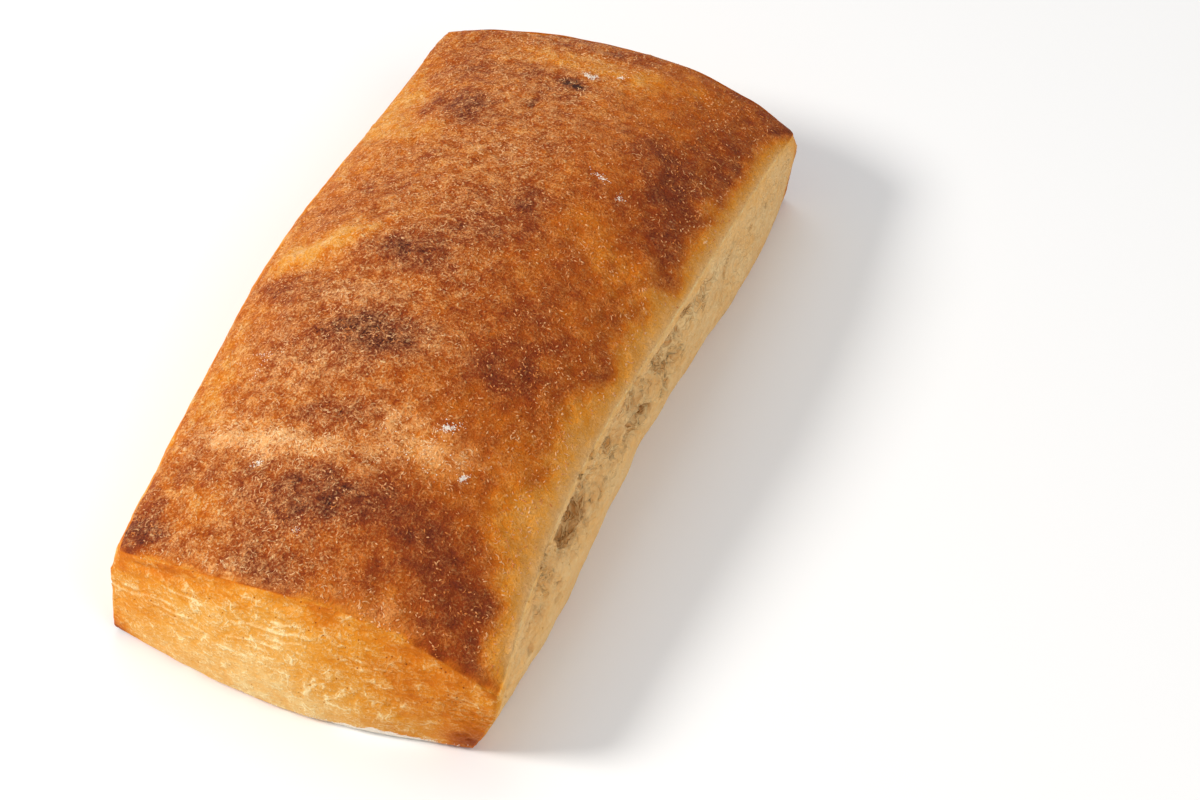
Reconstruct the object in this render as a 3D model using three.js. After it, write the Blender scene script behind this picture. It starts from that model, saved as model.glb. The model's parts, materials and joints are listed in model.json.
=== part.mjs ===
import * as THREE from "three";

// A ciabatta: one flat-bottomed pillow of dough, cut from a larger sheet, so its four sides
// differ. The crust on top rises between four rims, two ends are stretched and rounded, and
// the two long sides are torn open under the crust.
// Millimetres, +Z up. The loaf lies along Y, near end at -Y, torn side in view at +X.

// Driving dimensions
const baseWidth = 109; // underside between its corners
const baseLength = 231;
const crownRise = 8.5; // how far the middle of the crust stands over the rims around it
const crownFullness = [2.5, 3]; // power of the crown's fall-off across and along
const underside = [84, 200]; // the underside's flat middle, one rectangle across and along
const footRadius = 2.5; // rounding where the sides meet the underside
const footShare = 0.09; // share of a side's height taken by that rounding
const cornerBelly = 0.4; // how far the sides swell at the corners
const cornerTurn = 0.07; // share of a side over which its outward direction turns the corner
const edgeRounds = 3; // rounds of smoothing on the crust's edge

// Mesh steps
const stepsAcross = 26;
const stepsAlong = 54;
const wallRows = [0, 0.02, 0.05, 0.1, 0.18, 0.29, 0.41, 0.53, 0.65, 0.76, 0.86, 0.94, 1];

// The corners: place of the base corner against the plain rectangle (x, y), height of the crust's
// edge, how far that edge leans out past the base (x, y), and how far its rounding reaches.
const corners = {
  nearLeft: { sign: [-1, -1], shift: [0.8, -0.5], height: 31.2, lean: [-1.8, -2.9], round: 6 },
  nearRight: { sign: [1, -1], shift: [-1.7, 0.6], height: 26.3, lean: [10.5, 1], round: 5 },
  farRight: { sign: [1, 1], shift: [0.7, 0.3], height: 29.6, lean: [4.3, -1], round: 4 },
  farLeft: { sign: [-1, 1], shift: [-0.4, -0.4], height: 32.7, lean: [5.6, -1], round: 16 },
};

// The sides, each from one corner to the next. Three numbers bend an edge: an arch that is
// largest in the middle, a sway of one full wave and a ripple of one and a half waves.
// belly is how far the side swells at mid height.
const sides = {
  near: {
    corners: ["nearLeft", "nearRight"],
    out: [0, -1],
    base: [7, -0.4, -0.4],
    rim: [1.1, 1.4, 0.1],
    rise: [12.4, -0.8, 0],
    belly: 3.8,
  },
  right: {
    corners: ["nearRight", "farRight"],
    out: [1, 0],
    base: [-3.1, 0.4, 3.3],
    rim: [-4.7, -2.1, -0.6],
    rise: [12.4, 1, 0],
    belly: 6.8,
  },
  far: {
    corners: ["farLeft", "farRight"],
    out: [0, 1],
    base: [3.8, 0, 0],
    rim: [6.2, -0.5, -0.3],
    rise: [9.8, -0.6, 0.6],
    belly: 3.8,
  },
  left: {
    corners: ["nearLeft", "farLeft"],
    out: [-1, 0],
    base: [1.9, 0, 0],
    rim: [3, 0.2, -0.2],
    rise: [8, 0.8, -1.7],
    belly: 3.4,
  },
};

// Soft swells (+) and dips (-) of the crust: centre (x, y), height, spread across and along.
const swells = [
  { at: [-12, -38], height: 1.6, spread: [22, 13] },
  { at: [-16, -3], height: 1.4, spread: [24, 14] },
  { at: [8, -86], height: 1.8, spread: [26, 13] },
  { at: [18, -64], height: -1.4, spread: [20, 9] },
  { at: [-26, -70], height: -1, spread: [22, 8] },
  { at: [-38, -14], height: -1.2, spread: [16, 9] },
  { at: [-34, 70], height: 1, spread: [16, 18] },
  { at: [32, 60], height: 1.4, spread: [18, 22] },
  { at: [30, 8], height: -0.9, spread: [18, 20] },
];

// Torn hollows in the long sides: side, share along it, share of its height, half length and
// half height in mm, depth.
const hollows = [
  { side: "right", along: 0.27, up: 0.83, half: [19, 4.5], depth: 3.8 },
  { side: "right", along: 0.4, up: 0.86, half: [8, 4], depth: 3 },
  { side: "right", along: 0.49, up: 0.84, half: [10, 4], depth: 3.2 },
  { side: "right", along: 0.73, up: 0.76, half: [17, 5], depth: 2 },
  { side: "right", along: 0.12, up: 0.68, half: [14, 4], depth: 1.8 },
  { side: "left", along: 0.32, up: 0.74, half: [26, 5], depth: 4 },
  { side: "left", along: 0.6, up: 0.7, half: [18, 5], depth: 3.5 },
  { side: "left", along: 0.82, up: 0.6, half: [10, 6], depth: 2.5 },
];

const arch = (t) => 1 - (2 * t - 1) ** 2;

function bend(t, [bow, sway, ripple]) {
  return bow * arch(t) + sway * Math.sin(2 * Math.PI * t) + ripple * Math.sin(3 * Math.PI * t);
}

function baseCorner({ sign, shift }) {
  return new THREE.Vector3(
    (sign[0] * baseWidth) / 2 + shift[0],
    (sign[1] * baseLength) / 2 + shift[1],
    0,
  );
}

function rimCorner(corner) {
  const lean = new THREE.Vector3(
    corner.sign[0] * corner.lean[0],
    corner.sign[1] * corner.lean[1],
    corner.height,
  );
  return baseCorner(corner).add(lean);
}

// A side's own direction, turned half way to its neighbour's at each corner.
function outward(side, t) {
  const own = new THREE.Vector3(...side.out, 0);
  const [corner, along] = t < 0.5 ? [side.corners[0], t] : [side.corners[1], 1 - t];
  const turned = Math.max(0, 1 - along / cornerTurn) ** 2;
  const diagonal = new THREE.Vector3(...corners[corner].sign, 0).normalize();
  return own.lerp(diagonal, turned).normalize();
}

function basePoint(side, t) {
  const [from, to] = side.corners.map((name) => baseCorner(corners[name]));
  const out = new THREE.Vector3(...side.out, 0);
  return from.lerp(to, t).addScaledVector(out, bend(t, side.base));
}

function rimPoint(side, t) {
  const [from, to] = side.corners.map((name) => rimCorner(corners[name]));
  const out = new THREE.Vector3(...side.out, 0);
  const point = from.lerp(to, t).addScaledVector(out, bend(t, side.rim));
  point.z += bend(t, side.rise);
  return point;
}

// The crust: a patch blended between the four rims, raised by the crown and its soft swells.
function crustPoint(u, v) {
  const { near, right, far, left } = sides;
  const point = rimPoint(near, u).multiplyScalar(1 - v);
  point.addScaledVector(rimPoint(far, u), v);
  point.addScaledVector(rimPoint(left, v), 1 - u);
  point.addScaledVector(rimPoint(right, v), u);
  point.addScaledVector(rimCorner(corners.nearLeft), -(1 - u) * (1 - v));
  point.addScaledVector(rimCorner(corners.nearRight), -u * (1 - v));
  point.addScaledVector(rimCorner(corners.farLeft), -(1 - u) * v);
  point.addScaledVector(rimCorner(corners.farRight), -u * v);
  const acrossFall = 1 - Math.abs(2 * u - 1) ** crownFullness[0];
  const alongFall = 1 - Math.abs(2 * v - 1) ** crownFullness[1];
  point.z += crownRise * acrossFall * alongFall;
  const edgeFade = Math.sqrt(arch(u) * arch(v));
  for (const { at, height, spread } of swells) {
    const across = (point.x - at[0]) / spread[0];
    const along = (point.y - at[1]) / spread[1];
    point.z += height * edgeFade * Math.exp(-across * across - along * along);
  }
  return point;
}

// A side wall at share t along it and share w of its height.
function wallPoint(name, t, w) {
  const side = sides[name];
  const base = basePoint(side, t);
  const rim = rimPoint(side, t);
  const length = side.out[0] ? baseLength : baseWidth;
  const height = rim.z;
  const belly = (cornerBelly + side.belly * arch(t)) * 4 * w * (1 - w);
  const footLeft = 1 - Math.min(w / footShare, 1);
  const foot = footRadius * (1 - Math.sqrt(1 - footLeft * footLeft));
  let hollow = 0;
  for (const { side: where, along, up, half, depth } of hollows) {
    if (where !== name) continue;
    const far = Math.hypot(((t - along) * length) / half[0], ((w - up) * height) / half[1]);
    hollow += depth * Math.exp(-(far ** 3));
  }
  return base.lerp(rim, w).addScaledVector(outward(side, t), belly - foot - hollow);
}

// Once round the loaf, counter-clockwise from above: every place as a side and a share along it,
// with the cell of the crust's grid that it meets.
function placesAround() {
  const places = [];
  for (let i = 0; i < stepsAcross; i++) {
    places.push({ side: "near", t: i / stepsAcross, cell: [i, 0] });
  }
  for (let j = 0; j < stepsAlong; j++) {
    places.push({ side: "right", t: j / stepsAlong, cell: [stepsAcross, j] });
  }
  for (let i = stepsAcross; i > 0; i--) {
    places.push({ side: "far", t: i / stepsAcross, cell: [i, stepsAlong] });
  }
  for (let j = stepsAlong; j > 0; j--) {
    places.push({ side: "left", t: j / stepsAlong, cell: [0, j] });
  }
  return places;
}

// Moves the marked points towards the mean of the points they share an edge with.
function soften(points, faces, share, rounds) {
  const beside = points.map(() => new Set());
  for (const [a, b, c] of faces) {
    beside[a].add(b).add(c);
    beside[b].add(a).add(c);
    beside[c].add(a).add(b);
  }
  for (let round = 0; round < rounds; round++) {
    const means = points.map((point, i) => {
      const mean = new THREE.Vector3();
      for (const j of beside[i]) mean.addScaledVector(points[j], 1 / beside[i].size);
      return mean;
    });
    points.forEach((point, i) => point.lerp(means[i], share[i]));
  }
}

function loafGeometry() {
  const points = [];
  const share = []; // how far a point goes to its neighbours' mean in each round of smoothing
  const faces = [];
  const add = (point, onEdge) => {
    const nearCorner = Object.values(corners).map(
      (corner) => 1 - rimCorner(corner).distanceTo(point) / corner.round,
    );
    points.push(point);
    share.push(Math.max(onEdge, ...nearCorner));
    return points.length - 1;
  };
  const addQuad = (a, b, c, d) => faces.push([a, b, c], [a, c, d]);

  const crust = [];
  for (let i = 0; i <= stepsAcross; i++) {
    crust.push([]);
    for (let j = 0; j <= stepsAlong; j++) {
      const onRim = i === 0 || j === 0 || i === stepsAcross || j === stepsAlong;
      crust[i].push(add(crustPoint(i / stepsAcross, j / stepsAlong), onRim ? 0.5 : 0));
    }
  }
  for (let i = 0; i < stepsAcross; i++) {
    for (let j = 0; j < stepsAlong; j++) {
      addQuad(crust[i][j], crust[i + 1][j], crust[i + 1][j + 1], crust[i][j + 1]);
    }
  }

  const places = placesAround();
  const topRow = wallRows.length - 1;
  const rings = wallRows.map((w, row) =>
    places.map(({ side, t, cell: [i, j] }) => {
      if (row === topRow) return crust[i][j];
      return add(wallPoint(side, t, w), row === topRow - 1 ? 0.3 : 0);
    }),
  );
  for (let row = 0; row < topRow; row++) {
    places.forEach((place, k) => {
      const next = (k + 1) % places.length;
      addQuad(rings[row][k], rings[row][next], rings[row + 1][next], rings[row + 1][k]);
    });
  }

  const [x, y] = underside.map((side) => side / 2);
  const plate = [[-x, -y], [x, -y], [x, y], [-x, y]].map(([px, py]) => new THREE.Vector2(px, py));
  const outline = rings[0].map((k) => new THREE.Vector2(points[k].x, points[k].y));
  const plateIds = plate.map((corner) => add(new THREE.Vector3(corner.x, corner.y, 0), 0));
  const ids = [...rings[0], ...plateIds];
  for (const [a, b, c] of THREE.ShapeUtils.triangulateShape(outline, [plate])) {
    faces.push([ids[a], ids[c], ids[b]]);
  }
  addQuad(...plateIds.toReversed());

  soften(points, faces, share, edgeRounds);
  const geometry = new THREE.BufferGeometry().setFromPoints(points);
  geometry.setIndex(faces.flat());
  return geometry;
}

// Centres the loaf over the origin, standing on z = 0.
function centred(geometry) {
  geometry.computeBoundingBox();
  const { min, max } = geometry.boundingBox;
  geometry.translate(-(min.x + max.x) / 2, -(min.y + max.y) / 2, -min.z);
  geometry.computeVertexNormals();
  return geometry;
}

const bakedCrust = new THREE.MeshStandardMaterial({
  color: 0xb8713a,
  roughness: 0.62,
  metalness: 0,
});

const loaf = new THREE.Mesh(centred(loafGeometry()), bakedCrust);
loaf.name = "ciabatta_loaf";

const ciabatta = new THREE.Group();
ciabatta.add(loaf);

export default ciabatta;
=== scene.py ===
import json
import math
import random

import bpy
import numpy as np
from mathutils import Matrix, Vector, geometry, noise

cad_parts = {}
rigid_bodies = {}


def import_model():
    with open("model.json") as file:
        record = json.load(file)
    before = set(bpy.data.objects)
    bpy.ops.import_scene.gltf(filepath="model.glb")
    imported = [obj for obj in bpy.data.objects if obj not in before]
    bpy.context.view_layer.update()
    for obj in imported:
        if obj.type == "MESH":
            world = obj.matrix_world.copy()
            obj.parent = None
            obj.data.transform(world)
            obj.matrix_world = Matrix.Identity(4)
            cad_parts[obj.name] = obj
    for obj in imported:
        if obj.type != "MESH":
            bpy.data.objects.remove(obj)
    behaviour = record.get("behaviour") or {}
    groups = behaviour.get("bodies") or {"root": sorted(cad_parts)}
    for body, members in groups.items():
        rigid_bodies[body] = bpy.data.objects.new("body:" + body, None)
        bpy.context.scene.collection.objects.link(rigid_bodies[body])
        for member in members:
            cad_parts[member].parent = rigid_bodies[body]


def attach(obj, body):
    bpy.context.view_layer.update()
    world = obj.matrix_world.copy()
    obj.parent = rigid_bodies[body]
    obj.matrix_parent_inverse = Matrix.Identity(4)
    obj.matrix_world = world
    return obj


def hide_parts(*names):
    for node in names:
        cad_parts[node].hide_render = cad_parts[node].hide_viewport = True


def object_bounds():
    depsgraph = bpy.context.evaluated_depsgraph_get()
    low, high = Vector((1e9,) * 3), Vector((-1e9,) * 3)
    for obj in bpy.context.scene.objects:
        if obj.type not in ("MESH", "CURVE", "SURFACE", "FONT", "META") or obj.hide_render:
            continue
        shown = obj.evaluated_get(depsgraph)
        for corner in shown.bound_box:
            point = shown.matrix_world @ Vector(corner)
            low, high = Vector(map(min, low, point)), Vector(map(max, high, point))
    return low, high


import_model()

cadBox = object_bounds()
mm = 0.001


# Camera and studio

cameraSettings = {
    "lens": 85,
    "sensor": 36,
    "azimuth": 22.7,  # degrees round from the near end
    "elevation": 47.3,
    "roll": -0.1,
    "distance": 830,  # mm to the aim point
    "aimRight": 37.6,  # the aim point, across the picture from the middle of the base
    "aimDown": 0.6,
}

studioLights = {
    "keyLight": {"place": (-1.1, -0.65, 1.0), "size": 0.5, "power": 22, "color": (1.0, 0.965, 0.92)},
    "fillLight": {"place": (-0.5, 0.8, 1.6), "size": 1.2, "power": 5, "color": (1, 1, 1)},
    "sideLight": {"place": (1.0, -0.4, 1.1), "size": 0.9, "power": 5.6, "color": (1, 1, 1)},
}

studioRoom = {
    "skyColor": (0.97, 0.98, 1.0),
    "skyPower": 0.42,
    "floorSize": 6,
    "floorColor": (0.9, 0.9, 0.895),
    "floorRoughness": 0.9,
    "floorShine": 0.2,
}


def addObject(name, data):
    added = bpy.data.objects.new(name, data)
    bpy.context.scene.collection.objects.link(added)
    return added


def newMaterial(name):
    material = bpy.data.materials.new(name)
    material.use_nodes = True
    return material, material.node_tree.nodes["Principled BSDF"]


def makeCamera():
    s = cameraSettings
    a, e, r = (math.radians(s[k]) for k in ("azimuth", "elevation", "roll"))
    forward = Vector((-math.sin(a) * math.cos(e), math.cos(a) * math.cos(e), -math.sin(e)))
    right = Vector((math.cos(a), math.sin(a), 0))
    down = forward.cross(right)
    right, down = right * math.cos(r) + down * math.sin(r), down * math.cos(r) - right * math.sin(r)
    aim = (right * s["aimRight"] + down * s["aimDown"]) * mm
    data = bpy.data.cameras.new("camera")
    data.lens = s["lens"]
    data.sensor_width = s["sensor"]
    camera = addObject("camera", data)
    turn = Matrix((right, -down, -forward)).transposed().to_4x4()
    camera.matrix_world = Matrix.Translation(aim - forward * s["distance"] * mm) @ turn
    bpy.context.scene.camera = camera


def makeLight(name, place, size, power, color):
    data = bpy.data.lights.new(name, "AREA")
    data.shape = "DISK"
    data.size = size
    data.energy = power
    data.color = color
    light = addObject(name, data)
    light.location = place
    light.rotation_euler = (-Vector(place)).to_track_quat("-Z", "Y").to_euler()


def makeSky():
    world = bpy.data.worlds.new("studio")
    world.use_nodes = True
    sky = world.node_tree.nodes["Background"]
    sky.inputs["Color"].default_value = (*studioRoom["skyColor"], 1)
    sky.inputs["Strength"].default_value = studioRoom["skyPower"]
    bpy.context.scene.world = world
    bpy.context.scene.view_settings.view_transform = "Standard"


def makeFloor():
    s = studioRoom
    half = s["floorSize"] / 2
    corners = [(-half, -half, 0), (half, -half, 0), (half, half, 0), (-half, half, 0)]
    mesh = bpy.data.meshes.new("floor")
    mesh.from_pydata(corners, [], [(0, 1, 2, 3)])
    paint, shader = newMaterial("floorPaint")
    shader.inputs["Base Color"].default_value = (*s["floorColor"], 1)
    shader.inputs["Roughness"].default_value = s["floorRoughness"]
    shader.inputs["Specular IOR Level"].default_value = s["floorShine"]
    mesh.materials.append(paint)
    addObject("floor", mesh)


makeCamera()
for lightName, light in studioLights.items():
    makeLight(lightName, **light)
makeSky()
makeFloor()
print("camera and studio ready")


# A wire wraps a node's socket, so that masks and levels read as plain sums

class Wire:
    def __init__(self, tree, socket=None):
        self.tree = tree
        self.socket = socket

    def make(self, kind, settings=None, sockets=None, out=0):
        node = self.tree.nodes.new(kind)
        for name, value in (settings or {}).items():
            if name == "stops":
                fillRamp(node.color_ramp, value)
            else:
                setattr(node, name, value)
        for key, value in (sockets or {}).items():
            if isinstance(value, Wire):
                self.tree.links.new(value.socket, node.inputs[key])
            else:
                node.inputs[key].default_value = value
        return Wire(self.tree, node.outputs[out])

    def maths(self, operation, first, second=0):
        return self.make("ShaderNodeMath", {"operation": operation}, {0: first, 1: second})

    def __add__(self, other):
        return self.maths("ADD", self, other)

    def __sub__(self, other):
        return self.maths("SUBTRACT", self, other)

    def __rsub__(self, other):
        return self.maths("SUBTRACT", other, self)

    def __mul__(self, other):
        return self.maths("MULTIPLY", self, other)

    __radd__ = __add__
    __rmul__ = __mul__

    # 1 close to a level and 0 away from it, which draws thin curling lines through a noise
    def line(self, width, level=0.5):
        return 1 - self.maths("ABSOLUTE", self - level).step(0, width)

    def limit(self):
        return self.make("ShaderNodeClamp", {}, {"Value": self})

    def step(self, low, high):
        settings = {"interpolation_type": "SMOOTHSTEP"}
        return self.make("ShaderNodeMapRange", settings, {"Value": self, 1: low, 2: high})

    # A plain colour is given as on a screen, from 0 to 255
    def mix(self, first, second, blend="MIX"):
        first, second = (c if isinstance(c, Wire) else linear(c) for c in (first, second))
        settings = {"data_type": "RGBA", "blend_type": blend}
        return self.make("ShaderNodeMix", settings, {0: self, 6: first, 7: second}, 2)

    def stretch(self, factors):
        return self.make("ShaderNodeVectorMath", {"operation": "MULTIPLY"}, {0: self, 1: factors})

    def warp(self, other, amount):
        sockets = {0: other, 1: (amount, amount, amount), 2: self}
        return self.make("ShaderNodeVectorMath", {"operation": "MULTIPLY_ADD"}, sockets)

    def grain(self, scale, detail=2, rough=0.5, twist=0.0, out=0):
        values = {"Vector": self, "Scale": scale, "Detail": detail, "Roughness": rough, "Distortion": twist}
        return self.make("ShaderNodeTexNoise", {}, values, out)

    def cells(self, scale, feature="F1"):
        sockets = {"Vector": self, "Scale": scale}
        return self.make("ShaderNodeTexVoronoi", {"feature": feature}, sockets, "Distance")

    def other(self, name):
        return Wire(self.tree, self.socket.node.outputs[name])

    def read(self, name):
        return self.make("ShaderNodeAttribute", {"attribute_name": name}, {}, "Fac")


def fillRamp(ramp, stops):
    while len(ramp.elements) > 1:
        ramp.elements.remove(ramp.elements[-1])
    ramp.elements[0].position = stops[0][0]
    ramp.elements[0].color = linear(stops[0][1])
    for place, color in stops[1:]:
        ramp.elements.new(place).color = linear(color)


def linear(color):
    values = [c / 255 for c in color]
    return (*(v / 12.92 if v <= 0.04045 else ((v + 0.055) / 1.055) ** 2.4 for v in values), 1)


# The loaf's shape, in mm: a base and a rim on each of four sides, a crust over the rims

loafShape = {
    "baseWidth": 109,
    "baseLength": 231,
    "crownRise": 8.5,
    "crownFullness": (2.5, 3),  # across and along
    "footRadius": 2.5,
    "footShare": 0.09,
    "cornerBelly": 0.4,
    "cornerTurn": 0.07,
    "stepsAcross": 124,
    "stepsAlong": 262,
    "wallSteps": 76,
    "crustGrading": 0.2,  # how much closer together the steps are near the edges
    "wallGrading": 0.35,
    "rounding": 0.9,  # how far a point on an edge moves to its neighbours' middle in one round
    "leastRounding": 0.004,
    "roundingRounds": 70,
    "undersideSpacing": 3.4,
    "undersideMargin": 2.72,
}

# Base corner against the plain rectangle, rim height, rim's lean past the base, reach of rounding
loafCorners = {
    "nearLeft": {"sign": (-1, -1), "shift": (0.8, -0.5), "height": 31.2, "lean": (-1.8, -2.9), "round": 6},
    "nearRight": {"sign": (1, -1), "shift": (-1.7, 0.6), "height": 26.3, "lean": (10.5, 1), "round": 5},
    "farRight": {"sign": (1, 1), "shift": (0.7, 0.3), "height": 29.6, "lean": (4.3, -1), "round": 5},
    "farLeft": {"sign": (-1, 1), "shift": (-0.4, -0.4), "height": 32.7, "lean": (5.6, -1), "round": 16},
}

# Each edge is bent by an arch, a sway and a ripple; edge is the radius of the crust's turn there
loafSides = {
    "near": {"from": "nearLeft", "to": "nearRight", "out": (0, -1), "base": (7, -0.4, -0.4),
             "rim": (1.1, 1.4, 0.1), "rise": (12.4, -0.8, 0), "belly": 3.8, "edge": 2.4},
    "right": {"from": "nearRight", "to": "farRight", "out": (1, 0), "base": (-3.1, 0.4, 3.3),
              "rim": (-4.7, -2.1, -0.6), "rise": (12.4, 1, 0), "belly": 6.8, "edge": 3.2},
    "far": {"from": "farLeft", "to": "farRight", "out": (0, 1), "base": (3.8, 0, 0),
            "rim": (6.2, -0.5, -0.3), "rise": (9.8, -0.6, 0.6), "belly": 3.8, "edge": 3.2},
    "left": {"from": "nearLeft", "to": "farLeft", "out": (-1, 0), "base": (1.9, 0, 0),
             "rim": (3, 0.2, -0.2), "rise": (8, 0.8, -1.7), "belly": 3.4, "edge": 4.5},
}

# A point's zone is the number of its side, the crust or the underside
sideNames = list(loafSides)
onNear, onRight, onFar, onLeft, onCrust, onUnderside = range(6)
farAway = 99.0  # distance to a rim that a point has nothing to do with

# Soft swells and dips of the crust: x, y, height, spread across, spread along
crustSwells = [
    (-12, -38, 1.6, 22, 13), (-16, -3, 1.4, 24, 14), (8, -86, 1.8, 26, 13),
    (18, -64, -1.4, 20, 9), (-26, -70, -1, 22, 8), (-38, -14, -1.2, 16, 9),
    (-34, 70, 1, 16, 18), (32, 60, 1.4, 18, 22), (30, 8, -0.9, 18, 20),
]

# Wide hollows of the long sides: share along, share up, half length, half height, depth
sideHollows = {
    "right": [(0.27, 0.83, 19, 4.5, 3.8), (0.4, 0.86, 8, 4, 3), (0.49, 0.84, 10, 4, 3.2),
              (0.73, 0.76, 17, 5, 2), (0.12, 0.68, 14, 4, 1.8)],
    "left": [(0.32, 0.74, 26, 5, 4), (0.6, 0.7, 18, 5, 3.5), (0.82, 0.6, 10, 6, 2.5)],
}


def arch(t):
    return 1 - (2 * t - 1) ** 2


def bend(t, amounts):
    bow, sway, ripple = amounts
    return bow * arch(t) + sway * np.sin(2 * np.pi * t) + ripple * np.sin(3 * np.pi * t)


def gradedSteps(count, grading):
    s = np.linspace(0, 1, count + 1)
    return s - grading * np.sin(2 * np.pi * s) / (2 * np.pi)


def cornerPoint(name, onRim):
    corner = loafCorners[name]
    (sx, sy), (dx, dy), (lx, ly) = corner["sign"], corner["shift"], corner["lean"]
    point = np.array([sx * loafShape["baseWidth"] / 2 + dx, sy * loafShape["baseLength"] / 2 + dy, 0.0])
    return point + np.array([sx * lx, sy * ly, corner["height"]]) if onRim else point


def edgePoints(name, t, onRim):
    side = loafSides[name]
    share = t[:, None]
    points = cornerPoint(side["from"], onRim) * (1 - share) + cornerPoint(side["to"], onRim) * share
    points = points + np.array([*side["out"], 0]) * bend(share, side["rim" if onRim else "base"])
    if onRim:
        points[:, 2] += bend(t, side["rise"])
    return points


# Straight out along a side, turning to the diagonal at its two corners
def outward(name, t):
    side = loafSides[name]
    result = []
    for share in t:
        corner = side["from"] if share < 0.5 else side["to"]
        turned = max(0, 1 - min(share, 1 - share) / loafShape["cornerTurn"]) ** 2
        diagonal = np.array([*loafCorners[corner]["sign"], 0]) / math.sqrt(2)
        result.append(np.array([*side["out"], 0.0]) * (1 - turned) + diagonal * turned)
    result = np.array(result)
    return result / np.linalg.norm(result, axis=1)[:, None]


# A patch between the four rims, with a crown and the soft swells on it
def crustGrid(u, v):
    near, far = edgePoints("near", u, True)[:, None], edgePoints("far", u, True)[:, None]
    left, right = edgePoints("left", v, True)[None], edgePoints("right", v, True)[None]
    a, b = u[:, None, None], v[None, :, None]
    points = (1 - b) * near + b * far + (1 - a) * left + a * right
    shares = {"nearLeft": (1 - a) * (1 - b), "farRight": a * b,
              "farLeft": (1 - a) * b, "nearRight": a * (1 - b)}
    for name, share in shares.items():
        points = points - share * cornerPoint(name, True)
    fullAcross, fullAlong = loafShape["crownFullness"]
    crown = (1 - np.abs(2 * u - 1) ** fullAcross)[:, None] * (1 - np.abs(2 * v - 1) ** fullAlong)[None]
    points[..., 2] += loafShape["crownRise"] * crown
    fade = np.sqrt(arch(u)[:, None] * arch(v)[None])
    x, y = points[..., 0], points[..., 1]
    for px, py, height, across, along in crustSwells:
        points[..., 2] += height * fade * np.exp(-((x - px) / across) ** 2 - ((y - py) / along) ** 2)
    return points


# One row of a side, at share w of the way from the base to the rim
def wallPoints(name, t, w):
    side, s = loafSides[name], loafShape
    base, rim = edgePoints(name, t, False), edgePoints(name, t, True)
    belly = (s["cornerBelly"] + side["belly"] * arch(t)) * 4 * w * (1 - w)
    foot = s["footRadius"] * (1 - math.sqrt(1 - (1 - min(w / s["footShare"], 1)) ** 2))
    hollow = 0
    for along, up, halfLength, halfHeight, depth in sideHollows.get(name, []):
        reach = np.hypot((t - along) * s["baseLength"] / halfLength, (w - up) * rim[:, 2] / halfHeight)
        hollow = hollow + depth * np.exp(-reach ** 3)
    return base * (1 - w) + rim * w + outward(name, t) * (belly - foot - hollow)[:, None]


# The rim's points in order round the loaf: zone, share along the side, number in the crust's grid
def rimRing(u, v, ids):
    across, along = range(len(u) - 1), range(len(v) - 1)
    ring = [(onNear, u[i], ids[i, 0]) for i in across]
    ring += [(onRight, v[j], ids[-1, j]) for j in along]
    ring += [(onFar, u[i + 1], ids[i + 1, -1]) for i in reversed(across)]
    ring += [(onLeft, v[j + 1], ids[0, j + 1]) for j in reversed(along)]
    return (np.array(column) for column in zip(*ring))


# Every point knows its zone, its share along its side, its distance from each rim across the crust
# (or below the rim on its own side), and how far below its own rim it lies
def buildBody():
    s = loafShape
    u, v = gradedSteps(s["stepsAcross"], s["crustGrading"]), gradedSteps(s["stepsAlong"], s["crustGrading"])
    crust = crustGrid(u, v)
    count = len(u) * len(v)
    ids = np.arange(count).reshape(len(u), len(v))
    quads = [np.stack([ids[:-1, :-1], ids[1:, :-1], ids[1:, 1:], ids[:-1, 1:]], -1).reshape(-1, 4)]
    gaps = [crust[..., 1] - crust[:, :1, 1], crust[-1:, :, 0] - crust[..., 0],
            crust[:, -1:, 1] - crust[..., 1], crust[..., 0] - crust[:1, :, 0]]
    points, gap = [crust.reshape(-1, 3)], [np.stack([g.reshape(-1) for g in gaps], 1)]
    zone, along, drop = [np.full(count, onCrust)], [np.zeros(count)], [np.zeros(count)]

    ringZone, ringShare, ringIds = rimRing(u, v, ids)
    ringSteps = np.arange(len(ringIds))
    rows = []
    for w in gradedSteps(s["wallSteps"], s["wallGrading"])[:-1]:
        row = np.zeros((len(ringIds), 3))
        for k, name in enumerate(sideNames):
            row[ringZone == k] = wallPoints(name, ringShare[ringZone == k], w)
        below = points[0][ringIds, 2] - row[:, 2]
        rowGap = np.full((len(ringIds), 4), farAway)
        rowGap[ringSteps, ringZone] = below
        rows.append(count + ringSteps)
        count += len(ringIds)
        points.append(row)
        gap.append(rowGap)
        zone.append(ringZone)
        along.append(ringShare)
        drop.append(below)
    rows.append(ringIds)
    quads += [np.stack([a, np.roll(a, -1), np.roll(b, -1), b], -1) for a, b in zip(rows[:-1], rows[1:])]
    gap, quads = np.concatenate(gap), np.concatenate(quads)
    points = roundEdges(np.concatenate(points), gap, quads)

    under, triangles = fillUnderside(points[rows[0], :2])
    extra = len(under)
    underIds = np.concatenate([rows[0], count + np.arange(extra)])
    body = {
        "points": np.concatenate([points, np.column_stack([under, np.zeros(extra)])]),
        "faces": quads.tolist() + [underIds[list(t)].tolist() for t in triangles],
        "zone": np.concatenate(zone + [np.full(extra, onUnderside)]),
        "along": np.concatenate(along + [np.zeros(extra)]),
        "drop": np.concatenate(drop + [np.full(extra, farAway)]),
        "gap": np.concatenate([gap, np.full((extra, 4), farAway)]),
    }
    middle = (body["points"].max(0) + body["points"].min(0)) / 2
    body["points"] -= middle * (1, 1, 0)
    return body


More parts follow.
